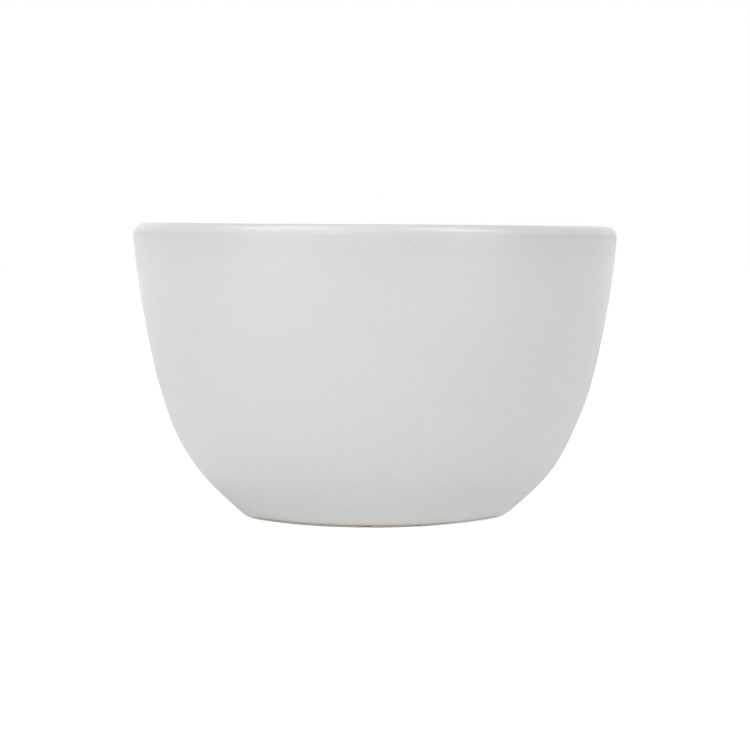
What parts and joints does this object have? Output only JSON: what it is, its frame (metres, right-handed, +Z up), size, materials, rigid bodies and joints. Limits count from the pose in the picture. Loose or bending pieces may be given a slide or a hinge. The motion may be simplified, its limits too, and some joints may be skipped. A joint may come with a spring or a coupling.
{
  "type": "consomme cup",
  "caption": "Round consomme cup without handles, in white glazed stoneware: curved wall, rounded lip and a bare clay foot ring, for serving soup or drinks.",
  "frame": {"origin": "on the surface that the cup stands on, at the centre of the foot ring", "axes": "+Z up along the cup's axis; the cup is round, and +Y points away from the picture's viewer"},
  "size_m": [0.105, 0.105, 0.0625],
  "materials": {
    "clay": "bare fired stoneware, matt and finely gritty",
    "white_glaze": "satin white glaze with fine pinholes and a few dark specks",
    "rim_glaze": "glossier white glaze, left by dipping the rim"
  },
  "bodies": {
    "root": {"stoneware_body": "clay", "outer_glaze": "white_glaze", "rim_glaze": "rim_glaze", "inner_glaze": "white_glaze", "recess_glaze": "white_glaze"}
  },
  "joints": []
}
